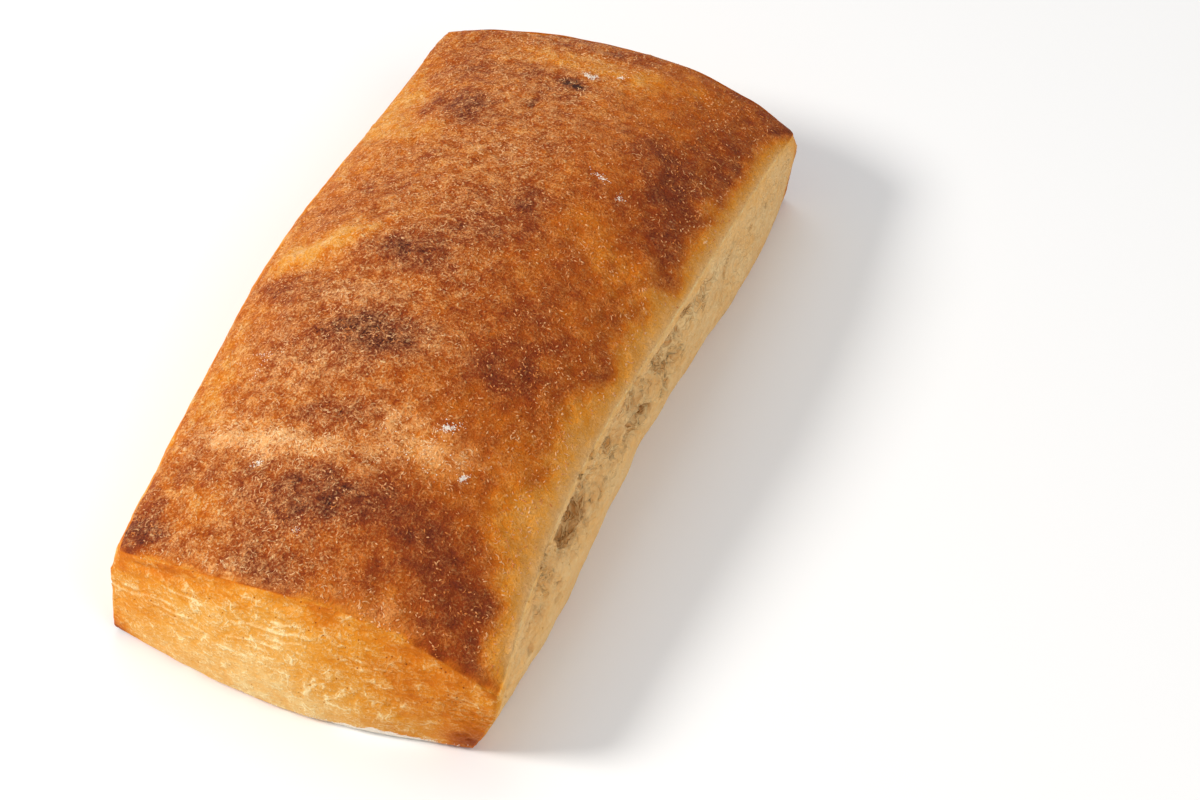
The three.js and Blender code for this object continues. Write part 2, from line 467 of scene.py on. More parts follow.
def roundEdges(points, gap, quads):
    s = loafShape
    share = np.zeros(len(points))
    for k, name in enumerate(sideNames):
        share = np.maximum(share, s["rounding"] * np.exp(-(gap[:, k] / loafSides[name]["edge"]) ** 2))
    for name, corner in loafCorners.items():
        away = np.linalg.norm(points - cornerPoint(name, True), axis=1)
        share = np.maximum(share, s["rounding"] * np.clip(1 - away / corner["round"], 0, 1))
    moving = share > s["leastRounding"]

    first = np.concatenate([quads[:, k] for k in range(4)])
    second = np.concatenate([quads[:, (k + 1) % 4] for k in range(4)])
    pairs = np.concatenate([np.stack([first, second], 1), np.stack([second, first], 1)])
    ends = np.unique(pairs, axis=0)
    ends = ends[moving[ends[:, 0]]]
    number = np.maximum(np.bincount(ends[:, 0], minlength=len(points)), 1)
    points = points.copy()
    for _ in range(s["roundingRounds"]):
        total = [np.bincount(ends[:, 0], points[ends[:, 1], k], minlength=len(points)) for k in range(3)]
        mean = np.stack(total, 1) / number[:, None]
        points += np.where(moving, share, 0)[:, None] * (mean - points)
    return points


# Evenly spread points inside the base's outline, joined to it by triangles that face down
def fillUnderside(outline):
    step = loafShape["undersideSpacing"]
    xs = np.arange(outline[:, 0].min(), outline[:, 0].max(), step)
    ys = np.arange(outline[:, 1].min(), outline[:, 1].max(), step)
    spots = np.array([(x + (j % 2) * step / 2, y) for j, y in enumerate(ys) for x in xs])
    inside = np.zeros(len(spots), bool)
    for (x0, y0), (x1, y1) in zip(outline, np.roll(outline, -1, axis=0)):
        crosses = (spots[:, 1] < y0) != (spots[:, 1] < y1)
        where = x0 + (spots[:, 1] - y0) * (x1 - x0) / ((y1 - y0) or 1)
        inside ^= crosses & (spots[:, 0] < where)
    gap = np.min([np.hypot(*(spots - p).T) for p in outline[::3]], axis=0)
    spots = spots[inside & (gap > loafShape["undersideMargin"])]
    count = len(outline)
    loop = [(k, (k + 1) % count) for k in range(count)]
    allSpots = [Vector(p) for p in np.concatenate([outline, spots])]
    result = geometry.delaunay_2d_cdt(allSpots, loop, [list(range(count))], 1, 1e-6)
    return spots, [(a, c, b) for a, b, c in result[2]]


body = buildBody()
print("loaf body:", len(body["points"]), "points,", len(body["faces"]), "faces")


# Relief: the crust's waves and blisters, the torn long sides, the stretched ends; sizes in mm

relief = {
    "seed": 5,
    "waves": [(26, 0.5), (9, 0.5), (3.8, 0.45), (2.1, 0.22)],  # size, height
    "blisterSize": 5.5,
    "blisterHeight": 0.22,
    "bellySize": 13,
    "bellyHeight": 0.55,
    "fineSize": 2.4,
    "fineHeight": 0.1,
    "undersideSize": 6,
    "undersideHeight": 0.18,
}

endRelief = {
    "layerStep": 2.3,
    "layerHeight": 0.45,
    "layersFrom": (3, 6),  # below the rim
    "layersTo": (13, 20),
    "lip": 0.5,
    "bubbleSize": 3.1,
    "bubbleDepth": 0.5,
}

tornRelief = {
    "crumbCells": [(5.4, 1.0), (2.4, 0.6)],  # size of the open cells, share of the depth
    "crumbDepth": 3.0,
    "crumbFloor": 0.7,
    "tearStrength": 1.5,
    "groove": 3.2,
    "start": (-118, -96),  # along the loaf, where both torn sides begin
    "rightCrumbEnd": (6, 30),
    "rightGrooveEnd": (28, 60),
    "leftEnd": (92, 114),
    "leftLip": 8.5,
    "leftTear": 1.8,
    "endLip": 30,  # the lip covers the whole side where the tear hasn't begun
}

# Narrow ridges and creases of the crust: x, y, half length, half width, turned by, height
crustRidges = [
    (20, -65.5, 9, 3.2, 18, 1.0), (9, -70, 5, 2.2, 60, 0.6), (8, -73.5, 4.5, 0.9, 40, -0.8),
    (13, -62, 5, 1, -20, -0.5), (-14, -74.5, 14, 3, 4, 0.8), (-33, -76, 9, 3, -8, 0.7),
    (-16, -82, 14, 3.5, 5, -0.5), (-36, -3.5, 12, 3, 28, 0.8), (-46, -10, 8, 2.6, 10, 0.6),
    (-23, -24.5, 12, 3, 10, 0.7), (6.5, -34, 6, 3, 0, 0.6), (-20, -31, 12, 3, 8, -0.5),
    (-24, -52, 13, 4, 4, 0.5), (-40, 50, 12, 5, 25, 0.6), (-8, 41, 12, 5, 10, 0.5),
    (47, 18, 8, 5, 70, 0.5), (-17, -113, 10, 3, 0, 0.4), (20, -110, 4, 2.2, 60, 0.5),
    (31, -106, 5, 2, 70, 0.45), (38, -101, 5, 2, 75, 0.45), (10, -104, 5, 2, 80, 0.35),
    (48.7, 59.6, 4.6, 2.6, 80, 0.9), (51.7, 58.4, 3.4, 0.6, 85, -0.6), (-11.7, 73.4, 2.3, 0.6, 100, -1.1),
]

# Torn places of the right side: y, z, half length, half height, tilt in degrees, depth
rightTears = [
    (-12.8, 39.0, 6.2, 1.6, 6, 2.8), (-12.5, 30.2, 7.4, 2.4, -6, 3.6), (-27.5, 33.8, 4.8, 1.8, -4, 2.0),
    (-54, 29.6, 9.8, 2.6, 7, 4.6), (-69.3, 34.3, 3.0, 1.1, 7, 1.6), (-81.5, 32.4, 4.0, 1.3, 16, 1.8),
    (54.5, 31.5, 6, 1.3, 38, 1.1), (14, 30.5, 2.2, 1.0, 10, 2.4), (32, 33.5, 2.6, 0.8, 30, 1.6),
    (22, 38.2, 7, 0.8, -3, 1.6), (-21, 29.7, 1.3, 0.9, 0, 1.4), (-38.5, 39.5, 1.5, 0.9, 20, 1.3),
    (-41.6, 37, 1.4, 1.0, 0, 1.4), (-46.4, 38.7, 1.5, 0.8, -15, 1.3), (-25.6, 41.2, 1.3, 0.8, 0, 1.2),
    (-44, 32.5, 1.6, 1.0, 10, 1.5), (-71.5, 23.5, 1.8, 0.7, 12, 1.1), (-73.7, 20.8, 1.5, 0.6, 12, 1.0),
    (-80, 22, 1.5, 0.7, 12, 1.0), (-90.6, 18, 1.7, 0.7, 15, 1.1), (-96.6, 13, 1.8, 0.7, 20, 1.0),
    (-105, 16, 1.5, 0.7, 20, 0.9), (82.7, 28, 1.2, 0.8, 0, 1.0), (69.6, 30, 1.2, 0.8, 0, 1.0),
]

# More tears between them, at random
looseTears = {
    "count": 16,
    "along": (-92, 6),
    "nearHeight": 33.5,
    "farHeight": 31,
    "spread": 3,
    "length": (1.2, 5),
    "slimness": (0.25, 0.5),
    "tilt": 12,
    "depth": (0.8, 2.4),
    "seed": 11,
}


def wavy(points, size, octaves=1, shift=0.0):
    spots = (points / size + shift + relief["seed"] * 3.7).tolist()
    return np.array([noise.fractal(spot, 1.0, 2.0, octaves) for spot in spots])


def bubbly(points, size, shift=0.0):
    spots = (points / size + shift).tolist()
    return np.array([noise.voronoi(spot)[0][0] for spot in spots])


def ease(low, high, values):
    t = np.clip((values - low) / (high - low), 0, 1)
    return t * t * (3 - 2 * t)


def hump(values, centre, width):
    return np.exp(-((values - centre) / width) ** 2)


# 1 from the end of the rise to the start of the fall, and 0 outside them
def band(values, rise, fall):
    return ease(*rise, values) * (1 - ease(*fall, values))


def turnedBy(degrees, x, y):
    c, s = math.cos(math.radians(degrees)), math.sin(math.radians(degrees))
    return x * c + y * s, y * c - x * s


def inZone(body, *zones):
    picked = np.nonzero(np.isin(body["zone"], zones))[0]
    return picked, body["points"][picked], body["drop"][picked]


def tearDepth(tears, y, z, wobble):
    depth = np.zeros(len(y))
    for cy, cz, length, height, tilt, deep in tears:
        a, b = turnedBy(tilt, y - cy, z - cz)
        reach = np.hypot(a / length, b / (0.85 * height)) + 0.3 * wobble
        depth = np.maximum(depth, deep * (1 - ease(0.66, 1.02, reach)))
    return depth


def randomTears():
    s = looseTears
    dice = random.Random(s["seed"])
    tears = []
    for _ in range(s["count"]):
        y = dice.uniform(*s["along"])
        length = dice.uniform(*s["length"])
        z = s["nearHeight" if y < 0 else "farHeight"] + dice.uniform(-s["spread"], s["spread"])
        height = length * dice.uniform(*s["slimness"])
        tears.append((y, z, length, height, dice.uniform(-s["tilt"], s["tilt"]), dice.uniform(*s["depth"])))
    return tears


# Open cells between thin walls, longer along the loaf; each cell has a depth of its own
def crumbWeb(points, wobble):
    web = np.zeros(len(points))
    for size, amount in tornRelief["crumbCells"]:
        spots = (points * (1, 0.45, 1) + (0.5 * size * wobble)[:, None]) / size
        for k, spot in enumerate(spots.tolist()):
            away, centres = noise.voronoi(spot)
            chance = math.modf(abs(math.sin(centres[0].dot((12.9, 78.2, 37.7)))) * 43.7)[0]
            room = min(max((away[1] - away[0]) / 0.3 - 0.15, 0), 1)
            web[k] += amount * room * chance
    return web


def vertexNormals(points, faces):
    mesh = bpy.data.meshes.new("probe")
    mesh.from_pydata(points.tolist(), [], faces)
    normals = np.zeros(len(points) * 3)
    mesh.vertices.foreach_get("normal", normals)
    bpy.data.meshes.remove(mesh)
    return normals.reshape(-1, 3)


def shapeCrust(body):
    r = relief
    crust, p, _ = inZone(body, onCrust)
    height = np.zeros(len(crust))
    for size, amount in r["waves"]:
        height += amount * wavy(p, size)
    blister = ease(0.42, 0.1, bubbly(p + wavy(p, 4)[:, None], r["blisterSize"]))
    height += r["blisterHeight"] * blister * (wavy(p, 16, shift=3) > 0.02)
    bent = 2 * wavy(p, 8, 2, 6)
    for cx, cy, length, width, turned, amount in crustRidges:
        a, b = turnedBy(turned, p[:, 0] - cx, p[:, 1] - cy + bent * min(1, width / 3))
        height += amount * hump(a, 0, length) * hump(b, 0, width)
    body["height"][crust] += height


def shapeWalls(body):
    r = relief
    walls, p, d = inZone(body, onNear, onRight, onFar, onLeft)
    fade = ease(0, 3, d) * ease(0, 3, p[:, 2])
    body["height"][walls] += fade * r["bellyHeight"] * wavy(p, r["bellySize"], 2)
    body["height"][walls] += r["fineHeight"] * ease(0, 1, d) * wavy(p, r["fineSize"], 2)


# The ends: thin layers of stretched skin that drift up and down, a lip at the rim, a few bubbles
def shapeEnds(body):
    r = endRelief
    ends, p, d = inZone(body, onNear, onFar)
    drift = d + 2.2 * wavy(p * (1, 1, 0), 26, 2) + 0.9 * wavy(p * (1, 1, 0.3), 7, 2)
    share = np.mod(drift / r["layerStep"], 1)
    shown = ease(0.0, 0.22, wavy(p * (0.5, 0.5, 1.6), 9, 3, 2))
    layers = band(d, r["layersFrom"], r["layersTo"]) * shown
    body["pale"][ends] = layers * (hump(share, 0.12, 0.13) + hump(share, 1.12, 0.13))
    lip = (hump(d, 0.3, 0.8) - 1.2 * hump(d, 2.3, 1.2)) * (0.8 + 1.4 * wavy(p, 11))
    bubble = ease(0.3, 0.12, bubbly(p, r["bubbleSize"], 4)) * ease(0.05, 0.25, wavy(p, 12, 2, 7))
    body["height"][ends] += r["layerHeight"] * layers * (0.5 - share)
    body["height"][ends] += r["lip"] * lip
    body["height"][ends] -= r["bubbleDepth"] * bubble * ease(2, 5, d)


# The right side: single tears, open crumb under the rim, and a groove that the crust hangs over, with
# painted shade in them and over the side's far part
def tearRight(body):
    r = tornRelief
    right, p, d = inZone(body, onRight)
    y, z = p[:, 1], p[:, 2]
    near = ease(*r["start"], y)
    wobble = wavy(p, 3.0, 3)
    web = crumbWeb(p, wobble)
    tear = r["tearStrength"] * tearDepth(rightTears + randomTears(), y, z, 0.8 * wobble)
    depth = tear * (0.85 + 0.4 * web)
    below = d + 6 * wavy(p * (1, 1, 0), 13, 2)
    crumb = ease(1.2, 2.2, d) * (1 - ease(8, 15, below)) * near
    crumb *= 1 - ease(*r["rightCrumbEnd"], y)
    depth = np.maximum(depth, crumb * (r["crumbDepth"] * web + r["crumbFloor"]))
    groove = band(d, (0.9, 2.0), (2.4, 6.5)) * near * (1 - ease(*r["rightGrooveEnd"], y))
    depth += r["groove"] * groove * np.clip(0.8 + 1.2 * wavy(p * (0, 1, 0), 16, 2), 0.15, 1.5)
    body["height"][right] -= depth
    # hollow marks painted shade: in the tears, the open crumb and the groove under the rim, and a darkening
    # that grows towards the far end, where the side lies in shade
    opened = np.clip(tear / 2.9 + 0.5 * crumb * ease(0.25, 0.9, web) + 0.6 * groove, 0, 1)
    body["hollow"][right] = 0.28 * ease(-90, 60, y) * ease(1, 4, d) + opened


# The left side: one long tear below a ragged lip, with painted shade in the tear
def tearLeft(body):
    r = tornRelief
    left, p, d = inZone(body, onLeft)
    lipEdge = r["leftLip"] + 2.2 * wavy(p * (0, 1, 0), 17, 2) + 1.2 * wavy(p, 3.4, 2)
    inner = band(p[:, 1] + 9 * wavy(p * (0, 1, 1), 12, 3), r["start"], r["leftEnd"])
    under = band(d - lipEdge, (0, 1.4), (6, 15)) * inner
    crumb = r["crumbDepth"] * crumbWeb(p, wavy(p, 3.0, 3))
    depth = under * (r["leftTear"] + 0.8 * wavy(p, 5, 2) + crumb)
    body["height"][left] -= depth
    # Painted shade in the tear, darker where it is deeper
    body["hollow"][left] = np.clip(depth / 4, 0, 1)
    lipReach = lipEdge * inner + r["endLip"] * (1 - inner)
    body["lip"][left] = 1 - ease(-0.6, 0.6, d - lipReach)


def addRelief(body):
    points, zone = body["points"], body["zone"]
    for name in ("height", "hollow", "pale", "lip"):
        body[name] = np.zeros(len(points))
    for shapeZone in (shapeCrust, shapeWalls, shapeEnds, tearRight, tearLeft):
        shapeZone(body)
    base = (zone == onUnderside) | ((zone < onCrust) & (points[:, 2] < 0.01))
    points = points + vertexNormals(points, body["faces"]) * body["height"][:, None]
    ripple = relief["undersideHeight"] * np.clip(wavy(points[base], relief["undersideSize"], 2), 0, 1)
    points[base, 2] = ripple * (zone[base] == onUnderside)
    body["points"] = points


def fitToCad(points):
    low, high = (np.array(corner) / mm for corner in cadBox)
    ownLow, ownHigh = points.min(0), points.max(0)
    return (points - ownLow) / (ownHigh - ownLow) * (high - low) + low


addRelief(body)
body["points"] = fitToCad(body["points"])
print("relief done")


# Browning: 0 is unbaked cream crumb, 0.35 golden, 0.6 brown crust, 0.85 dark, 1 scorched

browning = {
    "crust": 0.642,
    "drift": [(38, 0.09), (13, 0.07), (4.5, 0.09)],  # size and strength of the crust's changes
    "leftEdge": -0.13,
    "leftReach": 20,
    "rightDrift": 0.04,
    "rightDriftReach": 26,
    # The crust pales to this level at its right rim: less baked there, and partly painted light where the
    # rounded margin turns from the key light
    "rightEdgeBakeAndLight": 0.07,
    "rightReach": (15.0, 7.5),  # at the near end and at the far end
    "scorchStart": 0.87,
    "endTop": 0.36,
    "endMiddle": 0.22,
    "endLow": 0.09,
    "endRight": 0.26,
    "endLeft": 0.1,
    "farEnd": 0.12,
    "torn": 0.07,
    "lip": 0.3,
    "wrap": 0.34,
    "rightWrap": (3.6, 5),  # how far the ends' golden skin comes round, near and far
    "leftWrap": (6, 8),
    "foot": 0.3,
    "base": 0.5,
    "cornerReach": 6,
}

# Darker and less baked places of the crust, where the pale ones on the ridges also paint the sheen of light
# on them (painted highlight): x, y, reach across, reach along, turned by, amount
crustPatches = [
    (-12, -38, 15, 8, 12, 0.19), (-12, -38, 8, 4, 0, 0.17), (9, -87, 28, 10, 0, 0.14),
    (12, -83, 13, 6, 8, 0.08), (22, -79, 9, 5, 0, 0.08), (-7, -90, 9, 7, 0, 0.04),
    (-43, -85, 9, 8, 0, 0.06), (-47, -105, 8.5, 8, 0, 0.32), (-5, -110, 10, 5, 0, 0.06),
    (43, -100, 9, 15, 0, 0.07), (30, -96, 12, 10, 0, 0.05), (-15, -5, 12, 7, 0, 0.2),
    (-3, 9, 9, 6, 0, 0.07), (10, 29, 9, 7, 0, 0.08), (-46, -22, 9, 6, 0, 0.18),
    (28, -33, 11, 9, 0, 0.12), (-10, -63, 9, 5, 0, 0.13), (-32, 67, 11, 9, 0, 0.19),
    (-18, 93, 10, 5, 0, 0.06), (-5.6, 89.5, 3.2, 2, 0, 0.6), (30, 66, 10, 8, 0, 0.12),
    (38, 57, 9, 9, 0, 0.17), (46, 42, 9, 10, 0, 0.14), (16, 113, 28, 4, 0, 0.04),
    (-8, 101, 22, 8, 0, -0.29), (20, 104, 14, 6, 0, -0.1), (0, 22, 15, 12, 0, 0.13),
    (-38, 92, 10, 8, 0, 0.05), (-37, -3, 14, 5, 30, -0.31), (-47, -9, 8, 5, 0, -0.14),
    (-40, 52, 12, 9, 0, -0.2), (-57, 68, 10, 25, 0, -0.2), (19.5, -65, 13, 5.5, 20, -0.08),
    (-14, -74, 16, 4.5, 0, -0.12), (-33, -75, 10, 5, 0, -0.12), (-48, -60, 10, 16, 0, -0.1),
    (-34, -96, 12, 8, 0, -0.14), (47, 18, 9, 9, 0, -0.12), (36, 18, 8, 6, 0, -0.08),
    (40, -40, 8, 30, 0, -0.06), (26, 27, 10, 8, 0, -0.1), (48.7, 59.6, 3, 4.5, 0, -0.25),
    (-11.7, 73.4, 0.9, 2.6, 10, 0.4),
]

# Places under a thin pale film of baked flour, mostly on the ridges, whose paleness there also paints the
# sheen of the light (painted highlight)
filmAndSheenPatches = [
    (19.5, -65, 14, 6, 20, 0.85), (8, -60, 9, 5, 0, 0.4), (-14, -74, 17, 4.5, 0, 0.6),
    (-32, -75, 12, 5, 0, 0.7), (-23, -24, 13, 5, 10, 0.4), (6.5, -33.5, 8, 6, 0, 0.3),
    (-8, 41, 13, 9, 0, 0.12), (-16, -114, 15, 4, 0, 0.4), (26, -112, 9, 3.5, 0, 0.4),
    (-25, -52, 14, 6, 0, 0.25), (6, 70, 24, 22, 0, 0.1),
]

# Dabs of flour on the crust, given in the same way
flourDabs = [
    (20.8, -57, 1.5, 1.1, 20, 1.6), (23, -55.6, 2.2, 0.7, 35, 0.9), (30.5, -68, 0.9, 1.5, 0, 1.6),
    (-23, -82.6, 0.8, 1.2, 0, 1.5), (-40, -48, 4.5, 0.6, 5, 0.7), (-38, -53, 0.6, 4, 0, 0.7),
    (-3, 95.4, 2.4, 0.7, -20, 2.2), (-1.2, 96.6, 0.8, 0.8, 0, 1.8), (6, 99, 1.2, 0.7, 0, 1.8),
    (21, 47, 2.6, 0.7, -25, 1.6), (29, 42, 0.9, 1.2, 0, 1.2), (-54, -93, 1.2, 2.4, 0, 1.0),
    (-3, -98.6, 0.9, 0.9, 0, 1.2), (19, -65, 13, 7, 20, 0.03),
]

# Darker corners of the loaf: x, y, z, amount
darkCorners = [(-53, -115, 2, 0.4), (52, -116, 5, 0.28), (58, 112, 28, 0.12), (58, 112, 5, 0.2)]


def patchSum(patches, x, y):
    total = np.zeros(len(x))
    for px, py, across, along, turned, amount in patches:
        a, b = turnedBy(turned, x - px, y - py)
        total += amount * np.exp(-((a / across) ** 2 + (b / along) ** 2) ** 1.2)
    return total


# The crust's level, with paler margins at its rims (at the right rim partly painted light), its film with
# its painted sheen, and where flecks and threads lie, dimmed on the right half with painted shade
def bakeCrust(body, looks):
    b = browning
    crust, p, _ = inZone(body, onCrust)
    x, y = p[:, 0], p[:, 1]
    toNear, toRight, toFar, toLeft = body["gap"][crust].T
    shiftedX, shiftedY = x + 3.2 * wavy(p, 9, 3, 1.5), y + 3.2 * wavy(p, 9, 3, 8.5)
    level = b["crust"] + patchSum(crustPatches, shiftedX, shiftedY)
    for size, amount in b["drift"]:
        level += amount * wavy(p, size, 2, 2.5)
    level += b["leftEdge"] * np.exp(-(toLeft / b["leftReach"]) ** 1.5)
    level += b["rightDrift"] * np.exp(-(toRight / b["rightDriftReach"]) ** 1.5)
    nearReach, farReach = b["rightReach"]
    share = np.clip((y + 115) / 230, 0, 1)
    reach = (nearReach + (farReach - nearReach) * share) * (1 + 0.7 * wavy(p, 18, 2, 4.5))
    inside = np.clip(toRight / reach, 0, 1)
    inside = np.clip(inside + 0.75 * (hump(toNear, 0, 7) + hump(toFar, 0, 9)), 0, 1)
    # Towards the right rim the level eases to the rim's paler level: less baked, and partly painted light
    level = b["rightEdgeBakeAndLight"] + (level - b["rightEdgeBakeAndLight"]) * inside
    level -= (0.1 + 0.3 * wavy(p, 6, 2, 3)) * hump(toNear, 0, 1.8)
    scorch = np.maximum(level - b["scorchStart"], 0)
    looks["toast"][crust] = level - scorch * (1 - ease(0.2, 0.4, scorch))
    looks["flour"][crust] = patchSum(flourDabs, x, y)

    film = patchSum(filmAndSheenPatches, shiftedX, shiftedY) * (1 + 0.8 * wavy(p, 7, 3, 5))
    # Painted sheen: a broad pale film over the left half, where the key light's sheen falls; a band runs
    # along the right rim too
    film += 0.14 * hump(x, -18, 30) + 0.12 * hump(toRight, 3, 7)
    # Pale flecks and fibres are held back at the right and near rims, and over the right half, where they
    # are dimmed and turned golden as painted shade of the side away from the key light
    plain = 0.2 * hump(toRight, 0, 4) + 0.45 * hump(toNear, 0, 3) + 0.42 * ease(-8, 30, x)
    flecked = 0.45 + 0.35 * ease(0, 30, x) + 1.3 * wavy(p, 16, 3, 6) + 0.7 * film
    curled = np.clip(0.25 + 0.9 * wavy(p, 14, 3, 11) + 1.5 * film, 0.06, 2) * (1 - plain)
    rimFade = ease(0, 4, body["gap"][crust].min(1))
    looks["film"][crust] = film
    looks["plain"][crust] = plain
    looks["fleckMask"][crust] = np.clip(flecked, 0.1, 1.6) * ease(-1, 9, toRight)
    looks["curlMask"][crust] = curled * ease(0, 9, toRight) * rimFade


def bakeEnds(body, looks):
    b = browning
    ends, p, d = inZone(body, onNear, onFar)
    x = p[:, 0]
    top = 1 - ease(2.5, 9.5, d + 2.5 * wavy(p, 9, 2))
    low = ease(15, 29, d)
    level = b["endMiddle"] + (b["endTop"] - b["endMiddle"]) * top + (b["endLow"] - b["endMiddle"]) * low
    level += b["endRight"] * ease(2, 42, x) * (1 - 0.75 * top) + b["endLeft"] * ease(-10, -42, x)
    level += 0.08 * wavy(p, 14, 3)
    level += (0.1 + 0.16 * wavy(p, 8, 2, 9)) * np.exp(-d / 1.8)
    level += b["farEnd"] * (body["zone"][ends] == onFar)
    looks["toast"][ends] = level


# A torn side, with its lip and with the golden skin of both ends, which comes round its edges
def bakeTornSide(body, looks, zone, wrap):
    b = browning
    side, p, d = inZone(body, zone)
    share, lip = body["along"][side], body["lip"][side]
    wobble = 1 + 0.8 * wavy(p, 6, 2)
    length = loafShape["baseLength"]
    golden = hump(share * length / wobble, 0, wrap[0]) + hump((1 - share) * length / wobble, 0, wrap[1])
    golden = np.clip(golden, 0, 1)
    level = b["torn"] + 0.05 * wavy(p, 11, 2)
    if zone == onRight:
        level += 0.04 * np.exp(-(d / 1.1) ** 1.5)
    lipLevel = b["lip"] + 0.14 * wavy(p, 8, 3) + 0.16 * np.exp(-d / 2.5)
    level += (lipLevel - level) * lip
    level += (b["wrap"] - level) * golden * (1 - lip)
    looks["toast"][side] = level
    looks["torn"][side] = 1 - np.maximum(golden, 0.8 * lip)


# Darker feet and corners, and flour along the near end's foot
def bakeFeet(body, looks):
    b = browning
    walls, p, _ = inZone(body, onNear, onRight, onFar, onLeft)
    scorched = hump(p[:, 2] / (1.3 + 1.2 * wavy(p * (1, 1, 0), 12, 2)), 0, 1)
    looks["toast"][walls] += b["foot"] * scorched * (1 - looks["toast"][walls])
    for cx, cy, cz, amount in darkCorners:
        away = np.linalg.norm(body["points"] - (cx, cy, cz), axis=1)
        looks["toast"] += amount * hump(away, 0, b["cornerReach"])
    end, p, _ = inZone(body, onNear)
    foot, p = end[p[:, 2] < 8], p[p[:, 2] < 8]
    low = 1 - ease(2.6, 4.2, p[:, 2] + 2 * wavy(p, 5, 2))
    looks["flour"][foot] = 1.3 * low * hump(p[:, 0], 28, 11) ** 0.5


def bakeUnderside(body, looks):
    under, p, _ = inZone(body, onUnderside)
    looks["toast"][under] = browning["base"] + 0.1 * wavy(p, 22, 3) + 0.05 * wavy(p, 6, 2)
    looks["flour"][under] = 0.35 + 0.7 * wavy(p, 15, 3)


def bakeLoaf(body):
    names = ("toast", "flour", "film", "torn", "plain", "fleckMask", "curlMask")
    looks = {name: np.zeros(len(body["points"])) for name in names}
    bakeCrust(body, looks)
    bakeEnds(body, looks)
    bakeTornSide(body, looks, onRight, browning["rightWrap"])
    bakeTornSide(body, looks, onLeft, browning["leftWrap"])
    bakeFeet(body, looks)
    bakeUnderside(body, looks)
    above = ease(0.2, 0.6, body["points"][:, 2]) * (body["zone"] != onUnderside)
    looks["grainMask"] = looks["flour"] * above
    looks["flour"] = np.clip(looks["flour"], 0, 2.5)
    # hollow carries the painted shade of the torn sides' hollows
    looks["hollow"], looks["layers"] = body["hollow"], body["pale"]
    body["looks"] = looks


# A face has the crust's, the sides' or the underside's finish; an edge face has the lower one's
def faceFinishes(body):
    ranks = np.where(body["zone"] == onCrust, -1, body["zone"]).tolist()
    faceZone = np.array([max(ranks[c] for c in face) for face in body["faces"]])
    return np.where(faceZone < 0, 0, np.where(faceZone == onUnderside, 2, 1))


bakeLoaf(body)
print("browning done")


# Materials. A grain is a noise's scale per mm, detail, roughness and twist; a line its width and level

crustTones = [
    (0.00, (247, 210, 152)), (0.12, (246, 188, 113)), (0.25, (238, 164, 70)),
    (0.38, (230, 143, 37)), (0.50, (214, 116, 19)), (0.62, (188, 91, 13)),
    (0.75, (152, 63, 14)), (0.88, (117, 46, 21)), (1.00, (60, 30, 24)),
]

gritGrain = (1.4, 3, 0.7)
flourColor = (255, 251, 240)
breadShine = 0.1

crustFinish = {
    "mottleGrain": (0.3, 3, 0.62),
    "mottle": 0.45,
    "grit": 0.62,
    "poreShade": 0.1,
    "fiberSwirl": 3.4,
    "fiberLines": [(0.075, 0.5), (0.06, 0.37), (0.05, 0.63)],
    "fibers": 0.5,
    "speckCells": 0.8,
    "specks": 0.75,
    "dusting": 0.45,
    "film": 0.5,
    "filmAndSheenColor": (251, 171, 98),
    "paleColor": (255, 211, 150),
    "plainAndShadedFiberColor": (246, 150, 40),
    "flour": 0.75,
    "bump": 1.0,
}

sideFinish = {
    "cloudGrain": (0.22, 4, 0.6),
    "clouds": 0.3,
    "grit": 0.12,
    "streakGrain": (0.9, 3, 0.6, 0.5),
    "streaks": 0.2,
    "veinCells": 0.13,
    "veins": 1.0,
    "threadLines": [(0.07, 0.5), (0.05, 0.38)],
    "threads": 0.6,
    "pitCells": 0.6,
    "pitShade": 0.25,
    "layers": 0.85,
    "haze": 0.75,
    "skinTint": (245, 247, 233),
    "wrinkleGrain": (0.7, 5, 0.65, 0.4),
    "wrinkles": 0.2,
    "pinholeShade": 0.12,
    "holeCells": 0.42,
    "wallCells": 0.36,
    # Painted shade in the torn sides' hollows: its strength and its colour
    "depth": 0.62,
    "hollowShadeColor": (178, 118, 54),
    "strings": 0.45,
    "paleColor": (255, 227, 168),
    "flour": 0.85,
    "bump": 0.9,
}

baseFinish = {
    "mottleGrain": (0.17, 4, 0.62),
    "mottle": 0.35,
    "grit": 0.2,
    "bump": 0.8,
}


def startMaterial(name):
    material, shader = newMaterial(name)
    shader.inputs["Specular IOR Level"].default_value = breadShine
    place = Wire(material.node_tree).make("ShaderNodeTexCoord", out="Object")
    return material, place.stretch((1 / mm, 1 / mm, 1 / mm))


def finished(material, color, rough, height, strength):
    sockets = {"Strength": strength, "Distance": mm, "Height": height}
    bump = height.make("ShaderNodeBump", {}, sockets, "Normal")
    for wire, name in ((color, "Base Color"), (rough, "Roughness"), (bump, "Normal")):
        wire.tree.links.new(wire.socket, material.node_tree.nodes["Principled BSDF"].inputs[name])
    return material


def browned(level):
    return level.make("ShaderNodeValToRGB", {"stops": crustTones}, {"Fac": level}, "Color")


def dusted(flour, grit):
    return (flour * 1.3 + grit * 1.4 - 0.55).step(0.0, 0.45)
